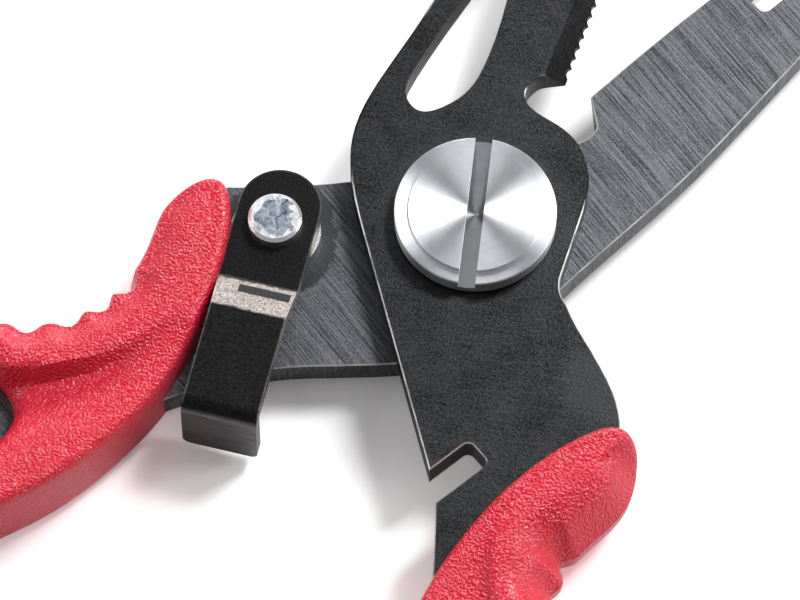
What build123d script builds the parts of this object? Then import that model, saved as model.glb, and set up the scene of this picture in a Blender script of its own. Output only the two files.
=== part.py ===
from build123d import *
import math
import os

# Multi-purpose angler's shears with a swinging lock latch, lying open on a surface.
# Millimetres, +Z up. The origin is on the pivot axis, on the surface that the shears lie on.
# Each blade has its own flat frame: origin at the pivot, +Y towards its tip when the shears are shut.

# Stack at the pivot, from the surface upwards
NUT_THICKNESS = 1.5
SPRING_WASHER_THICKNESS = 0.4
BLADE_THICKNESS = 2.8
FRICTION_WASHER_THICKNESS = 0.3
HEAD_HEIGHT = 1.8
MATING_Z = NUT_THICKNESS + SPRING_WASHER_THICKNESS + BLADE_THICKNESS
BLADE_B_Z = MATING_Z - BLADE_THICKNESS
BLADE_A_TOP_Z = MATING_Z + BLADE_THICKNESS

# Rest pose and travel, in degrees
BLADE_A_LEAN = -16.1
BLADE_B_LEAN = -48.9
CLOSE_ANGLE = 30.5

# Pivot
HEAD_RADIUS = 7.5
HEAD_RIM_WIDTH = 1.3
HEAD_RIM_DROP = 0.22
HEAD_EDGE_CHAMFER = 0.3
SLOT_WIDTH = 1.6
SLOT_DEPTH = 1.1
SLOT_DIRECTION = 83.5
SHOULDER_RADIUS = 4.0
THREAD_RADIUS = 2.5
NUT_RADIUS = 6.8
NUT_FLOOR = 0.3
SPANNER_HOLE_RADIUS = 0.7
SPANNER_HOLE_DEPTH = 0.7
SPANNER_HOLE_PLACE = 4.6
WASHER_RADIUS = 7.2
SPRING_WASHER_RADIUS = 6.4
RUNNING_CLEARANCE = 0.05
FACE_CLEARANCE = 0.02

# Blades
TIP_REACH = 71.0
EDGE_BULGE = 1.33
BEVEL_WIDTH = 1.8
EDGE_LAND = 0.3
BREAK_EDGE = 0.12
SHORTEST_BROKEN_EDGE = 2.7
TOOTH_PITCH = 1.18
TOOTH_DEPTH = 0.3
TOOTH_COUNT = 40
TOOTH_CUT_RADIUS = 0.75
GRIND_LEAD = 0.5
GRIND_SWEEP = 12.5
EDGE_A_START = (4.0, 17.0)
EDGE_A_TIP_X = 3.2
EDGE_B_START = (-3.4, 17.5)
EDGE_B_TIP_X = -0.9
TIP_WIDTH = 1.8
SLOT_B_LOW = (-1.9, 35.6)
SLOT_B_HIGH = (0.85, 54.0)
SLOT_B_CORNER = 0.8

# Latch, in its own frame: origin at the rivet, first axis along the lever
RIVET_PLACE = (-11.7, -14.3)
LATCH_REST = -55.3
LATCH_SWING = 22.8
LATCH_THICKNESS = 1.2
LATCH_END_RADIUS = 3.85
LATCH_END_SHIFT = 1.65
LATCH_WIDTH = 7.1
CRANK_START = 6.2
CRANK_END = 9.8
CRANK_RISE = 1.1
FOOT_OUTER = 20.5
FOOT_BOTTOM_Z = 1.2
BEND_RADIUS = 1.35
FOOT_CORNER = 0.8
SPACER_RADIUS = 4.2
SPACER_THICKNESS = 1.6
WAVE_WASHER_RADIUS = 3.6
WAVE_WASHER_THICKNESS = 0.5
RIVET_RADIUS = 1.75
RIVET_HEAD_RADIUS = 2.5
RIVET_HEAD_HEIGHT = 1.3
RIVET_TAIL_RADIUS = 2.7
RIVET_TAIL_HEIGHT = 1.0
NOTCH_WIDTH = 2.87
NOTCH_NEAR_GAP = 0.24
NOTCH_END_GAP = 0.25

# Handles, seen from above as right-hand ones; handle B is built as the mirror image
UPPER_SHELL_HEIGHT = 4.7
RIM_FILLET = 1.1
GRIP_CUT_RADIUS = 1.1
HANDLE_REAR = [
    (5.1, -45.7), (6.5, -52.6), (9.3, -61.5), (13.0, -70.5), (18.2, -78.8), (25.0, -84.3), (32.6, -84.4),
    (38.6, -79.2), (41.4, -70.5), (40.4, -61.0), (36.6, -52.6),
]
HANDLE_A_OUTLINE = HANDLE_REAR + [
    (30.6, -45.9), (24.6, -41.4), (20.0, -38.0), (17.6, -34.0), (17.5, -29.9), (19.1, -26.4), (20.7, -23.2),
    (20.9, -19.9), (20.0, -17.6), (18.4, -17.0), (16.0, -18.2), (13.6, -20.6), (10.1, -25.7), (7.7, -30.8),
    (6.2, -35.5), (5.4, -39.9),
]
HANDLE_B_OUTLINE = HANDLE_REAR + [
    (30.4, -46.3), (24.6, -42.0), (20.8, -39.4), (18.3, -36.7), (17.0, -33.8), (16.6, -30.5), (17.1, -27.0),
    (18.9, -23.4), (20.1, -20.9), (20.2, -18.8), (19.5, -16.7), (18.0, -15.4), (16.0, -16.1), (14.2, -17.6),
    (12.0, -20.3), (8.7, -26.1), (6.2, -32.0), (5.1, -38.7),
]
LOOP_OUTLINE = [
    (13.4, -44.4), (11.9, -47.2), (12.3, -53.0), (14.9, -62.0), (18.6, -70.6), (23.4, -77.2), (29.4, -79.0),
    (34.3, -75.2), (36.2, -68.0), (34.9, -60.0), (31.0, -52.8), (25.4, -47.2), (19.6, -43.7),
]
GRIP_CUTS_A = [(16.9, -29.9), (16.9, -33.3), (18.1, -36.7), (20.7, -39.6), (24.2, -42.2), (27.9, -44.6)]
GRIP_CUTS_B = [(15.9, -28.6), (15.8, -31.8), (16.6, -35.1), (18.6, -38.3), (21.6, -41.0), (25.2, -43.5)]

# Tang inside the handle, from the inner side round the end to the outer side
TANG_INNER = [(7.0, -38.5), (7.3, -43.0)]
TANG_CORNER = (8.6, -47.6)
TANG_WEB_MIDDLE = (16.0, -46.9)
TANG_OUTER = [(22.0, -44.4), (17.9, -40.6), (14.8, -36.4), (13.6, -31.4), (15.0, -26.5), (17.6, -21.0)]

# Handle screws, driven up from the underside
SCREW_PLACES_LOOP = [(15.8, -70.6), (38.5, -66.0)]
SCREW_PLACES_TANG = [(14.6, -23.1), (10.6, -36.2)]
SCREW_RADIUS = 1.25
SCREW_HEAD_RADIUS = 1.9
SCREW_HEAD_HEIGHT = 1.2
SCREW_RECESS = 0.3
SCREW_END_A_Z = 7.9
SCREW_END_B_Z = 6.6
SCREW_DRIVE_RADIUS = 1.0
SCREW_DRIVE_WIDTH = 0.5
SCREW_DRIVE_DEPTH = 0.7


def turned(point, degrees):
    """A point turned about the pivot."""
    angle = math.radians(degrees)
    x, y = point
    return (x * math.cos(angle) - y * math.sin(angle), x * math.sin(angle) + y * math.cos(angle))


def flat_plane(lean, z, origin=(0, 0)):
    """A level plane whose first axis is turned by lean from +X."""
    along = turned((1, 0), lean)
    return Plane(origin=(origin[0], origin[1], z), x_dir=(along[0], along[1], 0), z_dir=(0, 0, 1))


def edge_centre(start, tip_x, side):
    """Centre and radius of the cutting edge's arc, which bulges towards side."""
    tip = (tip_x, TIP_REACH)
    chord = math.dist(start, tip)
    radius = chord**2 / (8 * EDGE_BULGE) + EDGE_BULGE / 2
    middle = ((start[0] + tip[0]) / 2, (start[1] + tip[1]) / 2)
    across = ((tip[1] - start[1]) / chord, -(tip[0] - start[0]) / chord)
    reach = side * (radius - EDGE_BULGE)
    return (middle[0] - across[0] * reach, middle[1] - across[1] * reach), radius


def on_edge(start, tip_x, side, share):
    """A point of the cutting edge, at a share of the way to the tip."""
    centre, radius = edge_centre(start, tip_x, side)
    first = math.atan2(start[1] - centre[1], start[0] - centre[0])
    last = math.atan2(TIP_REACH - centre[1], tip_x - centre[0])
    turn = (last - first + math.pi) % (2 * math.pi) - math.pi
    angle = first + turn * share
    return (centre[0] + radius * math.cos(angle), centre[1] + radius * math.sin(angle))


def mirrored(points, side):
    """The right-hand points, or their mirror image for side = -1."""
    return [(side * x, y) for x, y in points]


def tang_end(side, entry, leave):
    """Lines of the tang inside a handle, from the inner entry point round to the outer one."""
    corner, middle = mirrored([TANG_CORNER, TANG_WEB_MIDDLE], side)
    outer = mirrored(TANG_OUTER, side)
    Spline([entry] + mirrored(TANG_INNER, side) + [corner])
    ThreePointArc(corner, middle, outer[0])
    Spline(outer + [leave])


def break_edges(part, z):
    """Edges that carry the fine chamfer round a blade's face at height z."""
    face = part.faces().filter_by(Axis.Z).sort_by(lambda f: abs(f.center().Z - z))[0]
    return [edge for edge in face.outer_wire().edges() if edge.length > SHORTEST_BROKEN_EDGE]


def bevel_profile(radius, z_edge, z_face):
    """Wedge that the grind takes away, in the plane of the arc's axis."""
    beyond = z_face + (z_face - z_edge) / BEVEL_WIDTH
    Polyline(
        (radius, z_edge),
        (radius + 1, z_edge),
        (radius + 1, beyond),
        (radius - BEVEL_WIDTH - 1, beyond),
        (radius - BEVEL_WIDTH, z_face),
        close=True,
    )


def grind_plane(lean, start, tip_x, side):
    """Plane through the arc's axis and a point just before the cutting edge's start."""
    centre, radius = edge_centre(start, tip_x, side)
    begin = math.degrees(math.atan2(start[1] - centre[1], start[0] - centre[0])) - side * GRIND_LEAD
    along = turned((1, 0), begin + lean)
    place = turned(centre, lean)
    return Plane(origin=(place[0], place[1], 0), x_dir=(along[0], along[1], 0), z_dir=(along[1], -along[0], 0))


def blade_a_outline():
    """Outline of blade A, from the cutting edge round the tip, the back and the tang to the notch."""
    tip = (EDGE_A_TIP_X, TIP_REACH)
    ThreePointArc(EDGE_A_START, on_edge(EDGE_A_START, EDGE_A_TIP_X, 1, 0.5), tip)
    tip_back = (EDGE_A_TIP_X - TIP_WIDTH, TIP_REACH - 0.9)
    ThreePointArc(tip, (EDGE_A_TIP_X - 1.0, TIP_REACH + 0.25), tip_back)
    ThreePointArc(tip_back, (-4.9, 46.0), (-10.0, 20.9))
    Spline(
        (-10.0, 20.9), (-12.4, 11.9), (-13.35, 6.4), (-12.6, 2.0), (-9.7, -3.9),
        tangents=((-5.1, -25.1), (12.6, -21.5)),
    )
    Line((-9.7, -3.9), (4.1, -27.5))
    Line((4.1, -27.5), (6.0, -35.2))
    tang_end(1, (6.0, -35.2), (18.5, -16.8))
    Spline((18.5, -16.8), (16.45, -12.75), (13.6, -9.6), (10.4, -6.0))
    ThreePointArc((10.4, -6.0), (9.4, -4.7), (9.15, -3.4))
    Line((9.15, -3.4), (9.35, 3.6))
    Spline(
        (9.35, 3.6), (9.1, 6.6), (8.1, 8.9), (6.4, 10.7), (4.4, 11.65), (2.3, 12.35), (1.2, 13.2),
        (0.95, 14.3), (1.5, 15.6), (2.6, 16.4),
        tangents=((0, 1), (1, 0.45)),
    )
    Line((2.6, 16.4), EDGE_A_START)


def blade_b_outline():
    """Outline of blade B, from the cutting edge round the tip, the back and the tang to the notch."""
    tip = (EDGE_B_TIP_X, TIP_REACH)
    ThreePointArc(EDGE_B_START, on_edge(EDGE_B_START, EDGE_B_TIP_X, -1, 0.5), tip)
    tip_back = (EDGE_B_TIP_X + TIP_WIDTH, TIP_REACH - 0.9)
    ThreePointArc(tip, (EDGE_B_TIP_X + 1.0, TIP_REACH + 0.25), tip_back)
    Spline(
        tip_back, (4.3, 49.5), (7.1, 30.5), (8.75, 17.8), (9.4, 5.0), (9.75, -3.5), (8.6, -9.6), (5.5, -14.0)
    )
    Spline((5.5, -14.0), (1.2, -19.3), (-1.8, -23.2), (-5.2, -30.6), (-6.1, -33.0))
    tang_end(-1, (-6.1, -33.0), (-18.7, -14.2))
    Spline((-18.7, -14.2), (-13.5, -7.9), (-11.2, -4.6))
    Spline((-11.2, -4.6), (-11.5, 0), (-9.6, 6.3), (-5.2, 10.2), (-1.6, 11.4), tangents=((-0.3, 1), (1, 0.1)))
    Spline((-1.6, 11.4), (-0.85, 12.9), (-0.35, 14.6), (-0.75, 15.9))
    Line((-0.75, 15.9), EDGE_B_START)


def handle_body(outline_points, lean, side, z, height):
    """One flat half of a handle with its finger loop, standing on the parting plane; height may be negative."""
    with BuildSketch(flat_plane(lean, z)) as outline:
        with BuildLine():
            Spline(*mirrored(outline_points, side), periodic=True)
        make_face()
        with BuildLine():
            Spline(*mirrored(LOOP_OUTLINE, side), periodic=True)
        make_face(mode=Mode.SUBTRACT)
    extrude(outline.sketch, amount=height)


def grip_cuts(places, lean, side):
    """The shallow valleys between the finger ridges on the outer side of a handle."""
    with BuildSketch(flat_plane(lean, 0)) as valleys:
        with Locations(*mirrored(places, side)):
            Circle(GRIP_CUT_RADIUS)
    extrude(valleys.sketch, amount=MATING_Z + UPPER_SHELL_HEIGHT, mode=Mode.SUBTRACT)


def bores(lean, side, radius, z_low, z_high):
    """Holes at the handle's screw places between two heights."""
    with BuildSketch(flat_plane(lean, z_low)) as holes:
        with Locations(*mirrored(SCREW_PLACES_LOOP + SCREW_PLACES_TANG, side)):
            Circle(radius)
    extrude(holes.sketch, amount=z_high - z_low, mode=Mode.SUBTRACT)


def countersunk_bores(lean, side):
    """Screw holes of a lower shell: a wide mouth for each head and a narrow way for each shank."""
    bores(lean, side, SCREW_HEAD_RADIUS + RUNNING_CLEARANCE, 0, SCREW_RECESS + SCREW_HEAD_HEIGHT)
    bores(lean, side, SCREW_RADIUS + RUNNING_CLEARANCE, 0, MATING_Z)


def screw_set(lean, side, end_z):
    """The four screws of a handle: flat heads with a cross-shaped drive, and plain shanks."""
    with BuildSketch(flat_plane(lean, SCREW_RECESS)) as heads:
        with Locations(*mirrored(SCREW_PLACES_LOOP + SCREW_PLACES_TANG, side)):
            Circle(SCREW_HEAD_RADIUS)
    extrude(heads.sketch, amount=SCREW_HEAD_HEIGHT)
    with BuildSketch(flat_plane(lean, SCREW_RECESS)) as shanks:
        with Locations(*mirrored(SCREW_PLACES_LOOP + SCREW_PLACES_TANG, side)):
            Circle(SCREW_RADIUS)
    extrude(shanks.sketch, amount=end_z - SCREW_RECESS)
    with BuildSketch(flat_plane(lean, SCREW_RECESS)) as drives:
        with Locations(*mirrored(SCREW_PLACES_LOOP + SCREW_PLACES_TANG, side)):
            Rectangle(2 * SCREW_DRIVE_RADIUS, SCREW_DRIVE_WIDTH)
            Rectangle(SCREW_DRIVE_WIDTH, 2 * SCREW_DRIVE_RADIUS)
    extrude(drives.sketch, amount=SCREW_DRIVE_DEPTH, mode=Mode.SUBTRACT)


# ---- Blade A: the upper blade, with the saw-toothed edge

edge_a_tip = (EDGE_A_TIP_X, TIP_REACH)
centre_a, radius_a = edge_centre(EDGE_A_START, EDGE_A_TIP_X, 1)
rivet_from_a = turned(RIVET_PLACE, BLADE_B_LEAN - BLADE_A_LEAN + CLOSE_ANGLE)
notch_lean = LATCH_REST + LATCH_SWING + BLADE_B_LEAN - BLADE_A_LEAN + CLOSE_ANGLE
foot_inner = FOOT_OUTER - LATCH_THICKNESS

with BuildPart() as blade_a:
    with BuildSketch(flat_plane(BLADE_A_LEAN, MATING_Z + FACE_CLEARANCE)):
        with BuildLine():
            blade_a_outline()
        make_face()
        Circle(SHOULDER_RADIUS + RUNNING_CLEARANCE, mode=Mode.SUBTRACT)
        with BuildLine():
            Spline(
                (-3.5, 34.2), (-5.6, 27.4), (-8.1, 19.5), (-9.75, 13.2), (-9.75, 10.7), (-8.2, 9.4), (-5.9, 10.5),
                (-4.2, 12.8), (-3.5, 15.8), (-3.35, 22.6), (-3.2, 34.2),
            )
            ThreePointArc((-3.2, 34.2), (-3.35, 34.4), (-3.5, 34.2))
        make_face(mode=Mode.SUBTRACT)
        with Locations(*SCREW_PLACES_TANG):
            Circle(SCREW_RADIUS + RUNNING_CLEARANCE, mode=Mode.SUBTRACT)
    extrude(amount=BLADE_THICKNESS - FACE_CLEARANCE)
    notch_plane = flat_plane(BLADE_A_LEAN + notch_lean, MATING_Z, turned(rivet_from_a, BLADE_A_LEAN))
    with BuildSketch(notch_plane):
        near_wall = foot_inner - NOTCH_NEAR_GAP
        notch_end = LATCH_WIDTH / 2 + NOTCH_END_GAP
        with BuildLine():
            Polyline(
                (near_wall, -12), (near_wall, notch_end), (near_wall + NOTCH_WIDTH, notch_end),
                (near_wall + NOTCH_WIDTH, -12), close=True,
            )
        make_face()
        fillet(vertices().group_by(Axis.Y)[-1], 0.7)
    extrude(amount=BLADE_THICKNESS + 1, both=True, mode=Mode.SUBTRACT)
    chamfer(break_edges(blade_a.part, BLADE_A_TOP_Z), BREAK_EDGE)
    with BuildSketch(flat_plane(BLADE_A_LEAN, MATING_Z)):
        for tooth in range(TOOTH_COUNT):
            share = (tooth + 1) * TOOTH_PITCH / math.dist(EDGE_A_START, edge_a_tip)
            gullet = on_edge(EDGE_A_START, EDGE_A_TIP_X, 1, share)
            outward = (radius_a + TOOTH_CUT_RADIUS - TOOTH_DEPTH) / radius_a
            with Locations(
                (
                    centre_a[0] + (gullet[0] - centre_a[0]) * outward,
                    centre_a[1] + (gullet[1] - centre_a[1]) * outward,
                )
            ):
                Circle(TOOTH_CUT_RADIUS)
    extrude(amount=BLADE_THICKNESS, mode=Mode.SUBTRACT)
    with BuildSketch(grind_plane(BLADE_A_LEAN, EDGE_A_START, EDGE_A_TIP_X, 1)):
        with BuildLine():
            bevel_profile(radius_a, MATING_Z + EDGE_LAND, BLADE_A_TOP_Z)
        make_face()
    axis_a = turned(centre_a, BLADE_A_LEAN)
    revolve(axis=Axis((axis_a[0], axis_a[1], 0), (0, 0, 1)), revolution_arc=GRIND_SWEEP, mode=Mode.SUBTRACT)

# ---- Blade B: the lower blade, with the plain edge

centre_b, radius_b = edge_centre(EDGE_B_START, EDGE_B_TIP_X, -1)

with BuildPart() as blade_b:
    with BuildSketch(flat_plane(BLADE_B_LEAN, BLADE_B_Z)):
        with BuildLine():
            blade_b_outline()
        make_face()
        Circle(SHOULDER_RADIUS + RUNNING_CLEARANCE, mode=Mode.SUBTRACT)
        with Locations(RIVET_PLACE):
            Circle(RIVET_RADIUS + RUNNING_CLEARANCE, mode=Mode.SUBTRACT)
        with Locations(*mirrored(SCREW_PLACES_TANG, -1)):
            Circle(SCREW_RADIUS + RUNNING_CLEARANCE, mode=Mode.SUBTRACT)
        slot_size = (SLOT_B_HIGH[0] - SLOT_B_LOW[0], SLOT_B_HIGH[1] - SLOT_B_LOW[1])
        with Locations(((SLOT_B_HIGH[0] + SLOT_B_LOW[0]) / 2, (SLOT_B_HIGH[1] + SLOT_B_LOW[1]) / 2)):
            RectangleRounded(slot_size[0], slot_size[1], SLOT_B_CORNER, mode=Mode.SUBTRACT)
    extrude(amount=BLADE_THICKNESS)
    chamfer(break_edges(blade_b.part, MATING_Z), BREAK_EDGE)
    with BuildSketch(grind_plane(BLADE_B_LEAN, EDGE_B_START, EDGE_B_TIP_X, -1)):
        with BuildLine():
            bevel_profile(radius_b, MATING_Z - EDGE_LAND, BLADE_B_Z)
        make_face()
    axis_b = turned(centre_b, BLADE_B_LEAN)
    revolve(axis=Axis((axis_b[0], axis_b[1], 0), (0, 0, -1)), revolution_arc=GRIND_SWEEP, mode=Mode.SUBTRACT)

# ---- Pivot: shouldered screw, washers and round cap nut

shoulder_top_z = BLADE_A_TOP_Z + FRICTION_WASHER_THICKNESS
head_top_z = shoulder_top_z + HEAD_HEIGHT

with BuildPart() as pivot_screw:
    with BuildSketch(Plane.XY.offset(shoulder_top_z)):
        Circle(HEAD_RADIUS)
    extrude(amount=HEAD_HEIGHT)
    chamfer(pivot_screw.edges().filter_by(GeomType.CIRCLE).sort_by(Axis.Z)[-1], HEAD_EDGE_CHAMFER)
    with BuildSketch(Plane.XY.offset(head_top_z)):
        Circle(HEAD_RADIUS)
        Circle(HEAD_RADIUS - HEAD_RIM_WIDTH, mode=Mode.SUBTRACT)
    extrude(amount=-HEAD_RIM_DROP, mode=Mode.SUBTRACT)
    with BuildSketch(flat_plane(SLOT_DIRECTION, head_top_z)):
        Rectangle(3 * HEAD_RADIUS, SLOT_WIDTH)
    extrude(amount=-SLOT_DEPTH, mode=Mode.SUBTRACT)
    with BuildSketch(Plane.XY.offset(BLADE_B_Z)):
        Circle(SHOULDER_RADIUS)
    extrude(amount=shoulder_top_z - BLADE_B_Z)
    with BuildSketch(Plane.XY.offset(NUT_FLOOR + RUNNING_CLEARANCE)):
        Circle(THREAD_RADIUS)
    extrude(amount=BLADE_B_Z)

with BuildPart() as pivot_friction_washer:
    with BuildSketch(Plane.XY.offset(BLADE_A_TOP_Z)):
        Circle(WASHER_RADIUS)
        Circle(SHOULDER_RADIUS + RUNNING_CLEARANCE, mode=Mode.SUBTRACT)
    extrude(amount=FRICTION_WASHER_THICKNESS)

with BuildPart() as pivot_spring_washer:
    with BuildSketch(Plane.XY.offset(NUT_THICKNESS)):
        Circle(SPRING_WASHER_RADIUS)
        Circle(THREAD_RADIUS + 2 * RUNNING_CLEARANCE, mode=Mode.SUBTRACT)
    extrude(amount=SPRING_WASHER_THICKNESS)

with BuildPart() as pivot_nut:
    with BuildSketch(Plane.XY):
        Circle(NUT_RADIUS)
    extrude(amount=NUT_THICKNESS)
    chamfer(pivot_nut.edges().filter_by(GeomType.CIRCLE), HEAD_EDGE_CHAMFER)
    with BuildSketch(Plane.XY.offset(NUT_FLOOR)):
        Circle(THREAD_RADIUS + RUNNING_CLEARANCE)
    extrude(amount=NUT_THICKNESS, mode=Mode.SUBTRACT)
    with BuildSketch(Plane.XY):
        with Locations((-SPANNER_HOLE_PLACE, 0), (SPANNER_HOLE_PLACE, 0)):
            Circle(SPANNER_HOLE_RADIUS)
    extrude(amount=SPANNER_HOLE_DEPTH, mode=Mode.SUBTRACT)

# ---- Latch: cranked lever on a riveted stack

rivet_world = turned(RIVET_PLACE, BLADE_B_LEAN)
lever_low_z = MATING_Z + SPACER_THICKNESS + WAVE_WASHER_THICKNESS
lever_high_z = lever_low_z + CRANK_RISE
lever_lean = LATCH_REST + BLADE_B_LEAN
lever_plane = flat_plane(lever_lean, 0, rivet_world)
lever_side = Plane(origin=lever_plane.origin, x_dir=lever_plane.x_dir, z_dir=-lever_plane.y_dir)
lever_back = LATCH_END_SHIFT + LATCH_END_RADIUS
crank_shift = LATCH_THICKNESS * math.tan(math.atan2(CRANK_RISE, CRANK_END - CRANK_START) / 2)

with BuildPart() as latch_lever:
    with BuildSketch(lever_side):
        with BuildLine():
            Polyline(
                (-lever_back - 1, lever_low_z),
                (CRANK_START + crank_shift, lever_low_z),
                (CRANK_END + crank_shift, lever_high_z),
                (foot_inner, lever_high_z),
                (foot_inner, FOOT_BOTTOM_Z),
                (FOOT_OUTER, FOOT_BOTTOM_Z),
                (FOOT_OUTER, lever_high_z + LATCH_THICKNESS),
                (CRANK_END, lever_high_z + LATCH_THICKNESS),
                (CRANK_START, lever_low_z + LATCH_THICKNESS),
                (-lever_back - 1, lever_low_z + LATCH_THICKNESS),
                close=True,
            )
        make_face()
        bend = sorted(vertices(), key=lambda v: (v.X, v.Y))[-1]
        fillet(bend, BEND_RADIUS)
    extrude(amount=2 * LATCH_END_RADIUS, both=True)
    with BuildSketch(lever_plane):
        with BuildLine():
            half = LATCH_WIDTH / 2
            Polyline((0, -LATCH_END_RADIUS), (CRANK_START, 0.1 - LATCH_END_RADIUS), (CRANK_END, -half))
            Line((CRANK_END, -half), (FOOT_OUTER + 1, -half))
            Line((FOOT_OUTER + 1, -half), (FOOT_OUTER + 1, half))
            Line((FOOT_OUTER + 1, half), (CRANK_END, half))
            Polyline((CRANK_END, half), (CRANK_START, LATCH_END_RADIUS - 0.1), (0, LATCH_END_RADIUS))
            Line((0, LATCH_END_RADIUS), (-LATCH_END_SHIFT, LATCH_END_RADIUS))
            ThreePointArc(
                (-LATCH_END_SHIFT, LATCH_END_RADIUS), (-lever_back, 0), (-LATCH_END_SHIFT, -LATCH_END_RADIUS)
            )
            Line((-LATCH_END_SHIFT, -LATCH_END_RADIUS), (0, -LATCH_END_RADIUS))
        make_face()
        Circle(RIVET_RADIUS + RUNNING_CLEARANCE, mode=Mode.SUBTRACT)
    extrude(amount=head_top_z + 5, mode=Mode.INTERSECT)
    foot_edges = latch_lever.edges().filter_by(Axis((0, 0, 0), lever_plane.x_dir)).group_by(Axis.Z)[0]
    fillet(foot_edges, FOOT_CORNER)

with BuildPart() as latch_spacer:
    with BuildSketch(flat_plane(0, MATING_Z, rivet_world)):
        Circle(SPACER_RADIUS)
        Circle(RIVET_RADIUS + RUNNING_CLEARANCE, mode=Mode.SUBTRACT)
    extrude(amount=SPACER_THICKNESS)

with BuildPart() as latch_wave_washer:
    with BuildSketch(flat_plane(0, MATING_Z + SPACER_THICKNESS, rivet_world)):
        Circle(WAVE_WASHER_RADIUS)
        Circle(RIVET_RADIUS + RUNNING_CLEARANCE, mode=Mode.SUBTRACT)
    extrude(amount=WAVE_WASHER_THICKNESS)

with BuildPart() as latch_rivet:
    with BuildSketch(flat_plane(0, BLADE_B_Z - RIVET_TAIL_HEIGHT, rivet_world)):
        Circle(RIVET_TAIL_RADIUS)
    extrude(amount=RIVET_TAIL_HEIGHT)
    with BuildSketch(flat_plane(0, BLADE_B_Z, rivet_world)):
        Circle(RIVET_RADIUS)
    extrude(amount=lever_low_z + LATCH_THICKNESS - BLADE_B_Z)
    with BuildSketch(flat_plane(0, lever_low_z + LATCH_THICKNESS, rivet_world)):
        Circle(RIVET_HEAD_RADIUS)
    extrude(amount=RIVET_HEAD_HEIGHT)
    rims = latch_rivet.edges().filter_by(GeomType.CIRCLE).sort_by(Axis.Z)
    chamfer([rims[0], rims[-1]], HEAD_EDGE_CHAMFER)

# ---- Handles: two moulded shells on each tang, drawn together by screws

with BuildPart() as handle_a_upper_shell:
    handle_body(HANDLE_A_OUTLINE, BLADE_A_LEAN, 1, MATING_Z, UPPER_SHELL_HEIGHT)
    fillet(handle_a_upper_shell.faces().sort_by(Axis.Z)[-1].edges(), RIM_FILLET)
    grip_cuts(GRIP_CUTS_A, BLADE_A_LEAN, 1)
    bores(BLADE_A_LEAN, 1, SCREW_RADIUS + RUNNING_CLEARANCE, MATING_Z, SCREW_END_A_Z + RUNNING_CLEARANCE)
    with BuildSketch(flat_plane(BLADE_A_LEAN, MATING_Z)):
        with BuildLine():
            blade_a_outline()
        make_face()
    extrude(amount=BLADE_THICKNESS + FACE_CLEARANCE, mode=Mode.SUBTRACT)

with BuildPart() as handle_a_lower_shell:
    handle_body(HANDLE_A_OUTLINE, BLADE_A_LEAN, 1, MATING_Z, -MATING_Z)
    fillet(handle_a_lower_shell.faces().sort_by(Axis.Z)[0].edges(), RIM_FILLET)
    grip_cuts(GRIP_CUTS_A, BLADE_A_LEAN, 1)
    countersunk_bores(BLADE_A_LEAN, 1)

with BuildPart() as handle_a_screws:
    screw_set(BLADE_A_LEAN, 1, SCREW_END_A_Z)

with BuildPart() as handle_b_upper_shell:
    handle_body(HANDLE_B_OUTLINE, BLADE_B_LEAN, -1, MATING_Z, UPPER_SHELL_HEIGHT)
    fillet(handle_b_upper_shell.faces().sort_by(Axis.Z)[-1].edges(), RIM_FILLET)
    grip_cuts(GRIP_CUTS_B, BLADE_B_LEAN, -1)
    bores(BLADE_B_LEAN, -1, SCREW_RADIUS + RUNNING_CLEARANCE, MATING_Z, SCREW_END_B_Z + RUNNING_CLEARANCE)

with BuildPart() as handle_b_lower_shell:
    handle_body(HANDLE_B_OUTLINE, BLADE_B_LEAN, -1, MATING_Z, -MATING_Z)
    fillet(handle_b_lower_shell.faces().sort_by(Axis.Z)[0].edges(), RIM_FILLET)
    grip_cuts(GRIP_CUTS_B, BLADE_B_LEAN, -1)
    countersunk_bores(BLADE_B_LEAN, -1)
    with BuildSketch(flat_plane(BLADE_B_LEAN, BLADE_B_Z - FACE_CLEARANCE)):
        with BuildLine():
            blade_b_outline()
        make_face()
    extrude(amount=BLADE_THICKNESS + 2 * FACE_CLEARANCE, mode=Mode.SUBTRACT)

with BuildPart() as handle_b_screws:
    screw_set(BLADE_B_LEAN, -1, SCREW_END_B_Z)

blade_a.part.label = "blade_a"
blade_b.part.label = "blade_b"
pivot_screw.part.label = "pivot_screw"
pivot_friction_washer.part.label = "pivot_friction_washer"
pivot_spring_washer.part.label = "pivot_spring_washer"
pivot_nut.part.label = "pivot_nut"
latch_lever.part.label = "latch_lever"
latch_spacer.part.label = "latch_spacer"
latch_wave_washer.part.label = "latch_wave_washer"
latch_rivet.part.label = "latch_rivet"
handle_a_upper_shell.part.label = "handle_a_upper_shell"
handle_a_lower_shell.part.label = "handle_a_lower_shell"
handle_a_screws.part.label = "handle_a_screws"
handle_b_upper_shell.part.label = "handle_b_upper_shell"
handle_b_lower_shell.part.label = "handle_b_lower_shell"
handle_b_screws.part.label = "handle_b_screws"

os.makedirs("parts", exist_ok=True)
export_step(blade_a.part, "parts/blade_a.step")
export_step(blade_b.part, "parts/blade_b.step")
export_step(pivot_screw.part, "parts/pivot_screw.step")
export_step(pivot_friction_washer.part, "parts/pivot_friction_washer.step")
export_step(pivot_spring_washer.part, "parts/pivot_spring_washer.step")
export_step(pivot_nut.part, "parts/pivot_nut.step")
export_step(latch_lever.part, "parts/latch_lever.step")
export_step(latch_spacer.part, "parts/latch_spacer.step")
export_step(latch_wave_washer.part, "parts/latch_wave_washer.step")
export_step(latch_rivet.part, "parts/latch_rivet.step")
export_step(handle_a_upper_shell.part, "parts/handle_a_upper_shell.step")
export_step(handle_a_lower_shell.part, "parts/handle_a_lower_shell.step")
export_step(handle_a_screws.part, "parts/handle_a_screws.step")
export_step(handle_b_upper_shell.part, "parts/handle_b_upper_shell.step")
export_step(handle_b_lower_shell.part, "parts/handle_b_lower_shell.step")
export_step(handle_b_screws.part, "parts/handle_b_screws.step")
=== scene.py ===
import math

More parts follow.
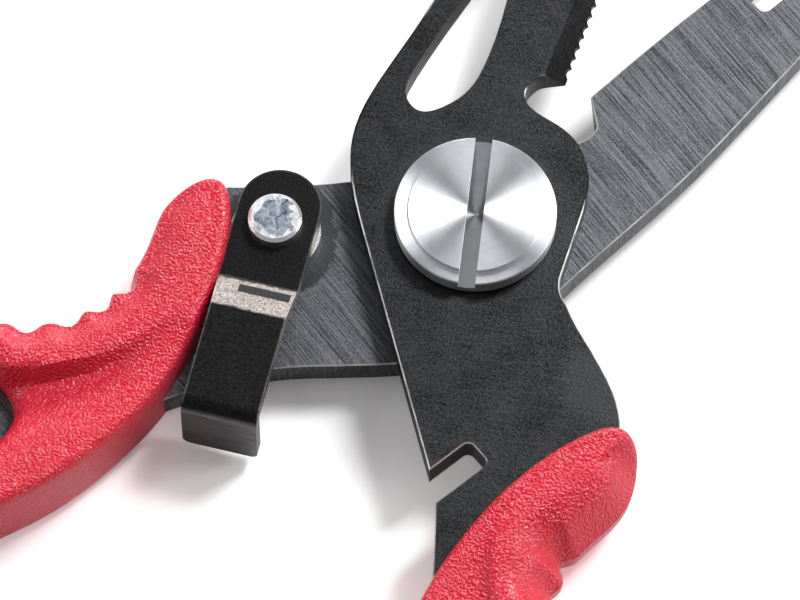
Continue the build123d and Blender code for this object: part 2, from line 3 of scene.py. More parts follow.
import bmesh
import bpy
import numpy as np
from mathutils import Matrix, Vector
from mathutils.geometry import delaunay_2d_cdt


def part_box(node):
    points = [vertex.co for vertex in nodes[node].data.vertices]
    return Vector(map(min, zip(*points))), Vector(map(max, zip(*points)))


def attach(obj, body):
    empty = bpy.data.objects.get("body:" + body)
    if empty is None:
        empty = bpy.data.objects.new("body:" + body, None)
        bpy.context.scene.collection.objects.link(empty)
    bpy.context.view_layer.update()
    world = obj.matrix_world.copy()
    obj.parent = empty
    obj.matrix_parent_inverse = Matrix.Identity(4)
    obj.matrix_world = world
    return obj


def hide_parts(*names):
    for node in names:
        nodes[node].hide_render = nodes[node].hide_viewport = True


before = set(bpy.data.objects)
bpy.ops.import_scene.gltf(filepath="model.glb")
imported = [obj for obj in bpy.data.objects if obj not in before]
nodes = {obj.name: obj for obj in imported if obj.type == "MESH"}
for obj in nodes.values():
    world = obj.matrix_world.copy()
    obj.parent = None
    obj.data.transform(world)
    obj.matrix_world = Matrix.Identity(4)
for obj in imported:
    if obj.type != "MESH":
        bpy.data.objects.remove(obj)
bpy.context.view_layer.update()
MM = 0.001

# ---- Camera: the photograph's viewing angle, nearly from above, close on the pivot

CAMERA_TILT = 24.9
CAMERA_PLACE = (-0.006946, -0.258312, 0.546285)
CAMERA_LENS = 290.9
SENSOR_WIDTH = 36.0


def make_camera():
    data = bpy.data.cameras.new("camera")
    data.lens = CAMERA_LENS
    data.sensor_width = SENSOR_WIDTH
    data.clip_start = 0.05
    data.clip_end = 20
    camera = bpy.data.objects.new("camera", data)
    camera.location = CAMERA_PLACE
    camera.rotation_euler = (math.radians(CAMERA_TILT), 0, 0)
    bpy.context.collection.objects.link(camera)
    bpy.context.scene.camera = camera


# ---- Node helpers


class Shader:
    """A material's node tree, with short calls that add and link nodes."""

    def __init__(self, name):
        self.material = bpy.data.materials.new(name)
        self.material.use_nodes = True
        self.tree = self.material.node_tree
        self.tree.nodes.clear()
        self.out = self.add("ShaderNodeOutputMaterial")
        self.bsdf = self.add("ShaderNodeBsdfPrincipled")
        self.link(self.bsdf.outputs[0], self.out.inputs["Surface"])

    def add(self, kind, **settings):
        node = self.tree.nodes.new(kind)
        for key, value in settings.items():
            setattr(node, key, value)
        return node

    def link(self, source, target):
        self.tree.links.new(source, target)

    def put(self, value, socket):
        """Links a socket, or sets a plain value."""
        if isinstance(value, bpy.types.NodeSocket):
            self.link(value, socket)
        else:
            socket.default_value = value

    def math(self, operation, a, b=0.0, c=0.0, clamp=False):
        node = self.add("ShaderNodeMath", operation=operation, use_clamp=clamp)
        for value, socket in zip((a, b, c), node.inputs):
            self.put(value, socket)
        return node.outputs[0]

    def place(self, lean=0.0, origin=(0.0, 0.0, 0.0), scale=(1.0, 1.0, 1.0)):
        """Object-space position in millimetres in a piece's own turned frame."""
        coords = self.add("ShaderNodeTexCoord")
        mapping = self.add("ShaderNodeMapping", vector_type="TEXTURE")
        self.link(coords.outputs["Object"], mapping.inputs["Vector"])
        mapping.inputs["Location"].default_value = [v / 1000 for v in origin]
        mapping.inputs["Rotation"].default_value = (0, 0, math.radians(lean))
        mapping.inputs["Scale"].default_value = [0.001 / s for s in scale]
        return mapping.outputs[0]

    def split(self, vector):
        node = self.add("ShaderNodeSeparateXYZ")
        self.link(vector, node.inputs[0])
        return node.outputs

    def noise(self, vector, scale, detail=4.0, roughness=0.55, distortion=0.0):
        node = self.add("ShaderNodeTexNoise")
        self.link(vector, node.inputs["Vector"])
        node.inputs["Scale"].default_value = scale
        node.inputs["Detail"].default_value = detail
        node.inputs["Roughness"].default_value = roughness
        node.inputs["Distortion"].default_value = distortion
        return node.outputs["Fac"]

    def span(self, value, low, high, to_low=0.0, to_high=1.0, smooth=False):
        node = self.add("ShaderNodeMapRange", interpolation_type="SMOOTHSTEP" if smooth else "LINEAR")
        for item, socket in zip((value, low, high, to_low, to_high), node.inputs):
            self.put(item, socket)
        return node.outputs[0]

    def mix(self, factor, a, b):
        node = self.add("ShaderNodeMix", data_type="RGBA")
        self.put(factor, node.inputs["Factor"])
        self.put(a, node.inputs[6])
        self.put(b, node.inputs[7])
        return node.outputs[2]

    def bump(self, height, strength, distance=0.00005, normal=None):
        node = self.add("ShaderNodeBump")
        node.inputs["Strength"].default_value = strength
        node.inputs["Distance"].default_value = distance
        self.link(height, node.inputs["Height"])
        if normal is not None:
            self.link(normal, node.inputs["Normal"])
        return node.outputs[0]

    def facing_up(self):
        """The vertical part of the surface's own normal."""
        geometry = self.add("ShaderNodeNewGeometry")
        return self.split(geometry.outputs["True Normal"])[2]


def grey(level):
    return (level, level, level, 1.0)


def rgb(r, g, b):
    return (r, g, b, 1.0)


# ---- Metals

BLADE_A_LEAN = -16.1
BLADE_B_LEAN = -48.9
GRIND_B_LEAN = -53.0
LEVER_LEAN = -104.2
RIVET_WORLD = (-18.468, -0.584)
CHAMFER_NORMAL = 0.707
BEVEL_NORMAL = 0.585


def from_point(s, centre, lean=0.0):
    """Distance in millimetres, seen from above, from a place in a piece's own turned frame."""
    x, y, _ = s.split(s.place(lean=lean))
    dx = s.math("SUBTRACT", x, centre[0])
    dy = s.math("SUBTRACT", y, centre[1])
    return s.math("SQRT", s.math("ADD", s.math("MULTIPLY", dx, dx), s.math("MULTIPLY", dy, dy)))


def near_value(s, value, target, half_width, soft):
    """1 where the value is within half_width of the target, falling to 0 over soft."""
    off = s.math("ABSOLUTE", s.math("SUBTRACT", value, target))
    return s.span(off, half_width, half_width + soft, 1.0, 0.0)


SCRATCH_LEANS = (14, -38, 71)


def blade_steel(name, lean, grain_lean, dark, light, streak, cloud, speckle, scratches, marks=(), bands=()):
    """Ground blade steel: cross grain, clouds, specks, scratches, lighter bands, and patches of wear round given
    points; on blade B the darker disc round the latch rivet is partly wear, partly painted shade. Bevel faces get a
    painted shade, and chamfers a light bare steel that is partly bare broken edges, partly a painted highlight.
    """
    s = Shader(name)
    along = s.place(lean=grain_lean)
    stretched = s.add("ShaderNodeMapping")
    s.link(along, stretched.inputs["Vector"])
    stretched.inputs["Scale"].default_value = (0.12, 5.0, 0.5)
    fine = s.noise(stretched.outputs[0], 1.0, detail=6.0, roughness=0.75)
    clouds = s.noise(s.place(lean=lean), 0.22, detail=6.0, roughness=0.65)
    specks = s.noise(s.place(lean=lean), 4.5, detail=3.0, roughness=0.8)
    level = s.math("ADD", s.span(fine, 0.3, 0.7, -streak, streak), s.span(clouds, 0.3, 0.7, -cloud, cloud))
    level = s.math("ADD", level, s.span(specks, 0.35, 0.65, -speckle, speckle))
    for angle in SCRATCH_LEANS:
        drawn = s.add("ShaderNodeMapping")
        s.link(s.place(lean=lean + angle), drawn.inputs["Vector"])
        drawn.inputs["Scale"].default_value = (0.25, 5.0, 0.5)
        lines = s.noise(drawn.outputs[0], 1.0, detail=2.0, roughness=0.6, distortion=0.4)
        level = s.math("ADD", level, s.span(lines, 0.6, 0.72, 0.0, scratches))
    for start, angle, inner, outer, amount in bands:
        _, off, _ = s.split(s.place(lean=lean + angle, origin=start))
        off = s.math("ADD", s.math("ABSOLUTE", off), s.span(clouds, 0.3, 0.7, -0.5, 0.5))
        level = s.math("ADD", level, s.span(off, inner, outer, amount, 0.0, smooth=True))
    for centre, inner, outer, amount in marks:
        ragged = s.math("ADD", from_point(s, centre, lean), s.span(clouds, 0.3, 0.7, -0.6, 0.6))
        level = s.math("ADD", level, s.span(ragged, inner, outer, amount, 0.0, smooth=True))
    level = s.math("ADD", level, 0.5, clamp=True)
    colour = s.mix(level, dark, light)
    up = s.math("ABSOLUTE", s.facing_up())
    # Faces at the bevel's slope are painted a quarter darker: painted shade on the bevel.
    colour = s.mix(s.math("MULTIPLY", near_value(s, up, BEVEL_NORMAL, 0.04, 0.02), 0.25), colour, grey(0.0))
    # Chamfers, picked by their slope, get a light bare steel that is partly bare broken edges, partly a painted
    # highlight; noise breaks it up.
    rub_and_glint = s.span(s.noise(s.place(), 0.35, detail=3.0), 0.35, 0.6, 0.45, 1.0)
    edge_wear_and_highlight = s.math("MULTIPLY", near_value(s, up, CHAMFER_NORMAL, 0.03, 0.05), rub_and_glint)
    s.link(s.mix(edge_wear_and_highlight, colour, grey(0.8)), s.bsdf.inputs["Base Color"])
    s.bsdf.inputs["Metallic"].default_value = 1.0
    s.link(s.span(level, 0.0, 1.0, 0.42, 0.3), s.bsdf.inputs["Roughness"])
    relief = s.math("ADD", s.math("MULTIPLY", fine, streak * 2), s.math("MULTIPLY", specks, speckle * 3))
    s.link(s.bump(relief, 0.6, 0.00004), s.bsdf.inputs["Normal"])
    return s.material


def turned_steel(name, colour, roughness, ring_scale=1.0, top=None):
    """Lathe-turned steel with fine rings and a fanned gloss; below top its colour is painted darker, a painted shade on
    the head's side.
    """
    s = Shader(name)
    x, y, z = s.split(s.place())
    radius = s.math("SQRT", s.math("ADD", s.math("MULTIPLY", x, x), s.math("MULTIPLY", y, y)))
    combine = s.add("ShaderNodeCombineXYZ")
    s.link(radius, combine.inputs[0])
    rings = s.noise(combine.outputs[0], 7.0 * ring_scale, detail=6.0, roughness=0.8)
    tone = s.span(rings, 0.3, 0.7, 0.86, 1.06)
    smear = s.noise(s.place(), 0.6, detail=4.0)
    tone = s.math("MULTIPLY", tone, s.span(smear, 0.3, 0.7, 0.9, 1.05))
    # Below the head's top face the colour is painted darker: painted shade on the head's side wall; the roughness stays
    # the same.
    if top is not None:
        tone = s.math("MULTIPLY", tone, s.span(z, top - 0.45, top - 0.3, 0.4, 1.0))
    s.link(s.mix(tone, grey(0.0), colour), s.bsdf.inputs["Base Color"])
    s.bsdf.inputs["Metallic"].default_value = 1.0
    s.bsdf.inputs["Roughness"].default_value = roughness
    s.bsdf.inputs["Anisotropic"].default_value = 0.95
    s.bsdf.inputs["Anisotropic Rotation"].default_value = 0.25
    tangent = s.add("ShaderNodeTangent", direction_type="RADIAL", axis="Z")
    s.link(tangent.outputs[0], s.bsdf.inputs["Tangent"])
    s.link(s.bump(rings, 0.35, 0.00004), s.bsdf.inputs["Normal"])
    return s.material


def plain_steel(name, low, high, roughness, scale=1.2):
    """Small steel parts: plated, with a mottled gloss."""
    s = Shader(name)
    cloud = s.noise(s.place(), scale, detail=5.0, roughness=0.65)
    s.link(s.mix(s.span(cloud, 0.35, 0.65), low, high), s.bsdf.inputs["Base Color"])
    s.bsdf.inputs["Metallic"].default_value = 1.0
    s.link(s.span(cloud, 0.3, 0.7, roughness + 0.08, roughness - 0.08), s.bsdf.inputs["Roughness"])
    s.link(s.bump(s.noise(s.place(), 4.0), 0.25, 0.00003), s.bsdf.inputs["Normal"])
    return s.material


def rivet_zinc(name):
    """Zinc-plated rivet: a bright rolled rim round a stained flat."""
    s = Shader(name)
    stain = s.noise(s.place(), 1.1, detail=6.0, roughness=0.7, distortion=0.6)
    flat = s.mix(s.span(stain, 0.4, 0.6), rgb(0.08, 0.11, 0.16), rgb(0.62, 0.7, 0.8))
    ragged = s.math("ADD", from_point(s, RIVET_WORLD), s.span(s.noise(s.place(), 0.9), 0.3, 0.7, -0.5, 0.5))
    rim = s.span(ragged, 1.75, 1.9)
    s.link(s.mix(rim, flat, rgb(0.95, 0.96, 1.0)), s.bsdf.inputs["Base Color"])
    s.bsdf.inputs["Metallic"].default_value = 1.0
    s.link(s.span(stain, 0.3, 0.7, 0.42, 0.24), s.bsdf.inputs["Roughness"])
    s.link(s.bump(stain, 0.5, 0.0001), s.bsdf.inputs["Normal"])
    return s.material


def red_plastic(name):
    """Moulded plastic with a fine pebble grain."""
    s = Shader(name)
    pebble = s.noise(s.place(), 4.0, detail=0.6, roughness=0.5)
    tone = s.noise(s.place(), 0.15, detail=3.0)
    s.link(s.mix(s.span(tone, 0.3, 0.7), rgb(0.58, 0.004, 0.026), rgb(0.67, 0.007, 0.036)), s.bsdf.inputs["Base Color"])
    s.bsdf.inputs["Roughness"].default_value = 0.3
    s.bsdf.inputs["Coat Weight"].default_value = 0.3
    s.bsdf.inputs["Coat Roughness"].default_value = 0.22
    grain = s.bump(s.span(pebble, 0.35, 0.65), 1.0, 0.00009)
    s.link(grain, s.bsdf.inputs["Normal"])
    s.link(grain, s.bsdf.inputs["Coat Normal"])
    return s.material


CRANK_SPAN = (6.35, 9.75)
# Place and half size, in the lever's frame, of a dark spot of coat left on the bare crank: a painted reflection.
CRANK_REFLECTION_PATCH = (7.35, 0.9)
CRANK_REFLECTION_PATCH_HALF = (0.4, 2.4)
LEVER_FACE_HALF = 3.55
LEVER_EYE_HALF = 3.85
LEVER_EYE_SHIFT = 1.65


def latch_coat(name):
    """Black coat, rubbed through to steel on the crank; along the edges and on the side walls the bare steel is partly
    wear, partly a painted highlight; a dark spot of coat left on the crank is a painted reflection; the foot's end is
    bare and brushed.
    """
    s = Shader(name)
    frame_map = s.place(lean=LEVER_LEAN, origin=(*RIVET_WORLD, 0.0))
    x, y, _ = s.split(frame_map)
    up = s.facing_up()
    top = s.span(up, 0.7, 0.75)
    cloud = s.noise(s.place(), 0.8, detail=5.0, roughness=0.7)
    fine = s.noise(s.place(), 5.0, detail=4.0, roughness=0.75)
    wander = s.span(cloud, 0.3, 0.7, -0.18, 0.18)
    coat = s.mix(s.span(fine, 0.45, 0.75), grey(0.001), grey(0.02))
    steel = s.mix(s.span(fine, 0.35, 0.65), rgb(0.05, 0.045, 0.042), rgb(0.3, 0.265, 0.245))
    crank = s.math("ADD", x, wander)
    bare = s.math("MULTIPLY", s.span(crank, CRANK_SPAN[0], CRANK_SPAN[0] + 0.2), s.span(crank, CRANK_SPAN[1] - 0.2, CRANK_SPAN[1], 1.0, 0.0))
    # A dark spot of coat is kept on the bare crank: a painted reflection.
    reflection_patch = s.math("MULTIPLY", near_value(s, x, CRANK_REFLECTION_PATCH[0], CRANK_REFLECTION_PATCH_HALF[0], 0.1), near_value(s, y, CRANK_REFLECTION_PATCH[1], CRANK_REFLECTION_PATCH_HALF[1], 0.1))
    bare = s.math("MULTIPLY", bare, s.math("SUBTRACT", 1.0, reflection_patch))
    half = s.span(x, CRANK_SPAN[0], CRANK_SPAN[1], LEVER_EYE_HALF, LEVER_FACE_HALF)
    side = s.math("SUBTRACT", half, s.math("ABSOLUTE", y))
    back = s.math("SUBTRACT", LEVER_EYE_HALF, from_lever_eye(s, x, y))
    to_edge = s.math("ADD", s.math("MINIMUM", side, back), s.span(fine, 0.3, 0.7, -0.06, 0.06))
    # A thin strip along the top face's edges turns to bare steel: partly wear of the coat, partly a painted highlight.
    rim_wear_and_highlight = s.math("MULTIPLY", s.span(to_edge, 0.06, 0.16, 1.0, 0.0), s.span(cloud, 0.35, 0.6, 0.25, 1.0))
    bare = s.math("MULTIPLY", s.math("MAXIMUM", bare, rim_wear_and_highlight), top)
    brushed = s.add("ShaderNodeMapping")
    s.link(frame_map, brushed.inputs["Vector"])
    brushed.inputs["Scale"].default_value = (3.0, 0.25, 3.0)
    lines = s.noise(brushed.outputs[0], 1.0, detail=5.0, roughness=0.7)
    foot_steel = s.mix(s.span(lines, 0.3, 0.7), rgb(0.06, 0.056, 0.058), rgb(0.17, 0.16, 0.165))
    foot = s.math("MULTIPLY", s.span(up, 0.25, 0.6, 1.0, 0.0), s.span(x, 19.0, 19.3))
    # Side walls, picked by their slope, turn to bare steel: partly wear, partly a painted highlight.
    walls = s.math("MULTIPLY", s.span(up, 0.25, 0.35, 1.0, 0.0), s.span(cloud, 0.35, 0.55, 0.5, 1.0))
    bare = s.math("MAXIMUM", bare, walls)
    colour = s.mix(foot, s.mix(bare, coat, steel), foot_steel)
    s.link(colour, s.bsdf.inputs["Base Color"])
    s.link(s.math("MAXIMUM", bare, foot), s.bsdf.inputs["Metallic"])
    s.bsdf.inputs["Specular IOR Level"].default_value = 0.16
    s.link(s.span(fine, 0.3, 0.7, 0.26, 0.42), s.bsdf.inputs["Roughness"])
    s.link(s.bump(fine, 0.5, 0.00005), s.bsdf.inputs["Normal"])
    return s.material


def from_lever_eye(s, x, y):
    """Distance from the middle of the lever's round end, and 0 ahead of it."""
    behind = s.math("MAXIMUM", s.math("SUBTRACT", -LEVER_EYE_SHIFT, x), 0.0)
    length = s.math("SQRT", s.math("ADD", s.math("MULTIPLY", behind, behind), s.math("MULTIPLY", y, y)))
    return s.math("MULTIPLY", length, s.math("GREATER_THAN", behind, 0.0))


def assign(name, material):
    data = nodes[name].data
    data.materials.clear()
    data.materials.append(material)


# ---- Handles: sculpted shells that stand for the plain CAD ones
# Outlines are in millimetres in the right-hand handle's own frame; the left-hand one is its mirror image.

PARTING_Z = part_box("handle_a_upper_shell")[0].z / MM
SHELL_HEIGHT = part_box("handle_a_upper_shell")[1].z / MM - PARTING_Z
HANDLE_REAR = [
    (5.1, -45.7), (6.5, -52.6), (9.3, -61.5), (13.0, -70.5), (18.2, -78.8), (25.0, -84.3), (32.6, -84.4),
    (38.6, -79.2), (41.4, -70.5), (40.4, -61.0), (36.6, -52.6),
]
HANDLE_A_OUTLINE = HANDLE_REAR + [
    (30.6, -45.9), (24.6, -41.4), (20.0, -38.0), (17.6, -34.0), (17.5, -29.9), (19.1, -26.4), (20.7, -23.2),
    (20.9, -19.9), (20.0, -17.6), (18.4, -17.0), (16.0, -18.2), (13.6, -20.6), (10.1, -25.7), (7.7, -30.8),
    (6.2, -35.5), (5.4, -39.9),
]
HANDLE_B_OUTLINE = HANDLE_REAR + [
    (30.4, -46.3), (24.6, -42.0), (20.8, -39.4), (18.3, -36.7), (17.0, -33.8), (16.6, -30.5), (17.1, -27.0),
    (18.9, -23.4), (20.1, -20.9), (20.2, -18.8), (19.5, -16.7), (18.0, -15.4), (16.0, -16.1), (14.2, -17.6),
    (12.0, -20.3), (8.7, -26.1), (6.2, -32.0), (5.1, -38.7),
]
LOOP_OUTLINE = [
    (13.4, -44.4), (11.9, -47.2), (12.3, -53.0), (14.9, -62.0), (18.6, -70.6), (23.4, -77.2), (29.4, -79.0),
    (34.3, -75.2), (36.2, -68.0), (34.9, -60.0), (31.0, -52.8), (25.4, -47.2), (19.6, -43.7),
]
VALLEYS_A = [(16.9, -29.9), (16.9, -33.3), (18.1, -36.7), (20.7, -39.6), (24.2, -42.2), (27.9, -44.6)]
VALLEYS_B = [(15.9, -28.6), (15.8, -31.8), (16.6, -35.1), (18.6, -38.3), (21.6, -41.0), (25.2, -43.5)]
VALLEY_DEPTHS = [1.1, 0.95, 0.85, 0.8, 0.7, 0.5]
VALLEY_HALF_WIDTH = 0.85
CREASE = [(17.6, -43.6), (16.8, -43.0), (14.8, -40.7), (13.1, -38.1), (11.7, -35.3), (10.9, -32.3), (10.7, -29.5), (10.7, -27.0)]
SCREW_PLACES = [(15.8, -70.6), (38.5, -66.0), (14.6, -23.1), (10.6, -36.2)]
SCREW_MOUTH = 1.95
RIM_OFFSETS = (0.1, 0.25, 0.45, 0.7, 1.0, 1.35, 1.7, 2.05, 2.4, 2.8)
GRID_STEP = 0.4
PARTING_GROOVE = 0.14
PARTING_LIP = 0.16


def closed_curve(points, count):
    """Points spread evenly along the smooth closed curve through the given points."""
    p = np.array(points, float)
    n = len(p)
    gaps = np.linalg.norm(np.roll(p, -1, axis=0) - p, axis=1)
    before = np.roll(gaps, 1)
    system = np.zeros((n, n))
    right = np.zeros((n, 2))
    for i in range(n):
        system[i, i - 1] += gaps[i]
        system[i, i] += 2 * (gaps[i] + before[i])
        system[i, (i + 1) % n] += before[i]
        ahead = (p[(i + 1) % n] - p[i]) / gaps[i]
        behind = (p[i] - p[i - 1]) / before[i]
        right[i] = 3 * (gaps[i] * behind + before[i] * ahead)
    slopes = np.linalg.solve(system, right)
    dense = []
    t = np.linspace(0, 1, 40, endpoint=False)[:, None]
    for i in range(n):
        j = (i + 1) % n
        dense.append(
            (2 * t**3 - 3 * t**2 + 1) * p[i] + (t**3 - 2 * t**2 + t) * gaps[i] * slopes[i]
            + (3 * t**2 - 2 * t**3) * p[j] + (t**3 - t**2) * gaps[i] * slopes[j]
        )
    dense = np.vstack(dense)
    return evenly(dense, count)


def evenly(dense, count):
    """Points at equal spacing along a closed polyline."""
    ring = np.vstack([dense, dense[:1]])
    run = np.concatenate([[0], np.cumsum(np.linalg.norm(np.diff(ring, axis=0), axis=1))])
    at = np.linspace(0, run[-1], count, endpoint=False)
    return np.column_stack([np.interp(at, run, ring[:, k]) for k in range(2)])


def inward_normals(ring, inward=True):
    """Unit normals of a closed ring, towards its inside or its outside."""
    along = np.roll(ring, -1, axis=0) - np.roll(ring, 1, axis=0)
    along /= np.linalg.norm(along, axis=1)[:, None]
    normals = np.column_stack([-along[:, 1], along[:, 0]])
    area = np.sum(ring[:, 0] * np.roll(ring[:, 1], -1) - np.roll(ring[:, 0], -1) * ring[:, 1])
    return normals if (area > 0) == inward else -normals


def nearest(points, line, closed=True):
    """Distance of each point to a polyline, how far along it the nearest place is, and the side."""
    start = line if closed else line[:-1]
    end = np.roll(line, -1, axis=0) if closed else line[1:]
    step = end - start
    length = np.linalg.norm(step, axis=1)
    run = np.concatenate([[0], np.cumsum(length)])
    best = np.full(len(points), 1e9)
    place = np.zeros(len(points))
    side = np.zeros(len(points))
    for i in range(len(start)):
        off = points - start[i]
        share = np.clip(off @ step[i] / length[i] ** 2, 0, 1)
        gap = np.linalg.norm(off - share[:, None] * step[i], axis=1)
        closer = gap < best
        best[closer] = gap[closer]
        place[closer] = (run[i] + share[closer] * length[i]) / run[-1]
        cross = step[i, 0] * off[:, 1] - step[i, 1] * off[:, 0]
        side[closer] = np.sign(cross[closer])
    return best, place, side


def inside(points, ring):
    """Which points lie inside a closed ring."""
    found = np.zeros(len(points), bool)
    for (ax, ay), (bx, by) in zip(ring, np.roll(ring, -1, axis=0)):
        if ay == by:
            continue
        crosses = (ay > points[:, 1]) != (by > points[:, 1])
        found ^= crosses & (points[:, 0] < (bx - ax) * (points[:, 1] - ay) / (by - ay) + ax)
    return found


def ease(value, low, high):
    """Smooth step from 0 at low to 1 at high."""
    t = np.clip((value - low) / (high - low), 0, 1)
    return t * t * (3 - 2 * t)


def gripped_outline(outline, valleys):
    """A handle's outline with rounded finger valleys pressed into its outer side."""
    ring = closed_curve(outline, 600)
    normals = inward_normals(ring)
    spacing = np.linalg.norm(ring[1] - ring[0])
    depth = np.zeros(len(ring))
    for valley, deep in zip(valleys, VALLEY_DEPTHS):
        centre = np.argmin(np.linalg.norm(ring - valley, axis=1))
        away = np.abs((np.arange(len(ring)) - centre + len(ring) / 2) % len(ring) - len(ring) / 2) * spacing
        depth = np.maximum(depth, deep * np.exp(-((away / VALLEY_HALF_WIDTH) ** 2)))
    return ring + normals * depth[:, None]


LOOP = closed_curve(LOOP_OUTLINE, 300)


class Handle:
    """Plan of one handle: its gripped outline, and how much of the finger side each place belongs to."""

    def __init__(self, outline, valleys, slope_width, slope_top, side_start, side_end):
        self.outline = gripped_outline(outline, valleys)
        self.slope_width = slope_width
        self.slope_top = slope_top
        self.span = [nearest(np.array([point]), self.outline)[1][0] for point in (side_start, side_end)]

    def grip(self, share):
        """1 on the finger side and 0 on the smooth side, for shares of the way round the outline."""
        start, end = self.span
        return ease(share, start - 0.05, start + 0.03) * (1 - ease(share, end, end + 0.03))


HANDLE_A = Handle(HANDLE_A_OUTLINE, VALLEYS_A, 1.8, 3.7, (30.6, -45.9), (21.2, -21.0))
HANDLE_B = Handle(HANDLE_B_OUTLINE, VALLEYS_B, 0.5, 3.6, (30.4, -46.3), (19.7, -20.6))


def rounding(distance, wall, width, height):
    """Height of a rim that stands straight up to wall and then rolls over within width."""
    t = 1 - np.clip(distance / width, 0, 1)
    return wall + (height - wall) * np.sqrt(np.maximum(1 - t * t, 0))


def soft_min(a, b, blend):
    h = np.clip(0.5 + 0.5 * (b - a) / blend, 0, 1)
    return b * (1 - h) + a * h - blend * h * (1 - h)


def shell_height(points, handle, upper, scoop_depth):
    """Height of the shell's outer face over the parting plane."""
    rim, place, _ = nearest(points, handle.outline)
    hole, _, _ = nearest(points, LOOP)
    grip = handle.grip(place)
    full = SHELL_HEIGHT
    if not upper:
        wall = 2.9 * (1 - grip) + 0.6 * grip
        width = 1.7 * (1 - grip) + 2.6 * grip
        return soft_min(rounding(rim, wall, width, full), rounding(hole, 2.7, 1.9, full), 0.25)
    smooth_side = rounding(rim, 3.4, 1.3, full)
    slope = PARTING_LIP + rim * (handle.slope_top - PARTING_LIP) / handle.slope_width
    brow = full - (full - handle.slope_top) * (1 - ease(rim, handle.slope_width * 0.6, handle.slope_width + 2.6))
    finger_side = soft_min(slope, brow, 0.9)
    outer = smooth_side * (1 - grip) + finger_side * grip
    height = soft_min(outer, rounding(hole, 2.7, 1.9, full), 0.25)
    near_rim = np.minimum(rim, hole)
    height = height - 0.016 * np.maximum(0, 5.5 - near_rim) ** 2 * ease(near_rim, 0.0, 1.8)
    away, share, side = nearest(points, open_curve(CREASE, 80), closed=False)
    across = away * np.where(side < 0, -1, 1)
    deep = scoop_depth * (1 - share) ** 0.8 * np.exp(-(np.maximum(0, away - 5.0) / 4.0) ** 2)
    bowl = ease(across, -0.15, 1.1) * (1 - 0.62 * ease(across, 1.5, 7.5))
    return height - deep * bowl


def open_curve(points, count):
    """Smooth open curve through a few points."""
    p = np.array(points, float)
    ends = np.vstack([2 * p[0] - p[1], p, 2 * p[-1] - p[-2]])
    out = []
    each = max(2, count // (len(p) - 1))
    for i in range(len(p) - 1):
        a, b, c, d = ends[i:i + 4]
        t = np.linspace(0, 1, each, endpoint=False)[:, None]
        out.append(0.5 * (2 * b + (c - a) * t + (2 * a - 5 * b + 4 * c - d) * t**2 + (3 * b - a - 3 * c + d) * t**3))
    return np.vstack(out + [p[-1:]])


def shell_plan(outline, holes):
    """Plan points of a shell and its triangles: rims first, then rings inside them, then a grid."""
    rings = [outline, LOOP] + holes
    fill = []
    for offset in RIM_OFFSETS:
        fill.append(outline + inward_normals(outline) * offset)
        fill.append(LOOP + inward_normals(LOOP, inward=False) * offset)
    rows = []
    low, high = outline.min(0), outline.max(0)
    for k, y in enumerate(np.arange(low[1], high[1], GRID_STEP * 0.87)):
        xs = np.arange(low[0] + (k % 2) * GRID_STEP / 2, high[0], GRID_STEP)
        rows.append(np.column_stack([xs, np.full(len(xs), y)]))
    grid = np.vstack(rows)
    candidates = []
    for k, ring in enumerate(fill):
        offset = RIM_OFFSETS[k // 2]
        gap = np.minimum(nearest(ring, outline)[0], nearest(ring, LOOP)[0])
        keep = (gap > offset - 0.03) & inside(ring, outline) & ~inside(ring, LOOP)
        candidates.append(ring[keep])
    gap = np.minimum(nearest(grid, outline)[0], nearest(grid, LOOP)[0])
    keep = (gap > RIM_OFFSETS[-1] + 0.2) & inside(grid, outline) & ~inside(grid, LOOP)
    candidates.append(grid[keep])
    free = np.vstack(candidates)
    for ring in holes:
        free = free[~inside(free, ring) & (nearest(free, ring)[0] > 0.2)]
    points = np.vstack(rings + [free])
    edges, first = [], 0
    for ring in rings:
        n = len(ring)
        edges += [(first + i, first + (i + 1) % n) for i in range(n)]
        first += n
    result = delaunay_2d_cdt([Vector(p) for p in points], edges, [], 0, 1e-6)
    plan = np.array([tuple(v) for v in result[0]])
    triangles = np.array(result[2])
    middle = plan[triangles].mean(axis=1)
    keep = inside(middle, outline) & ~inside(middle, LOOP)
    for ring in holes:
        keep &= ~inside(middle, ring)
    return plan, triangles[keep]


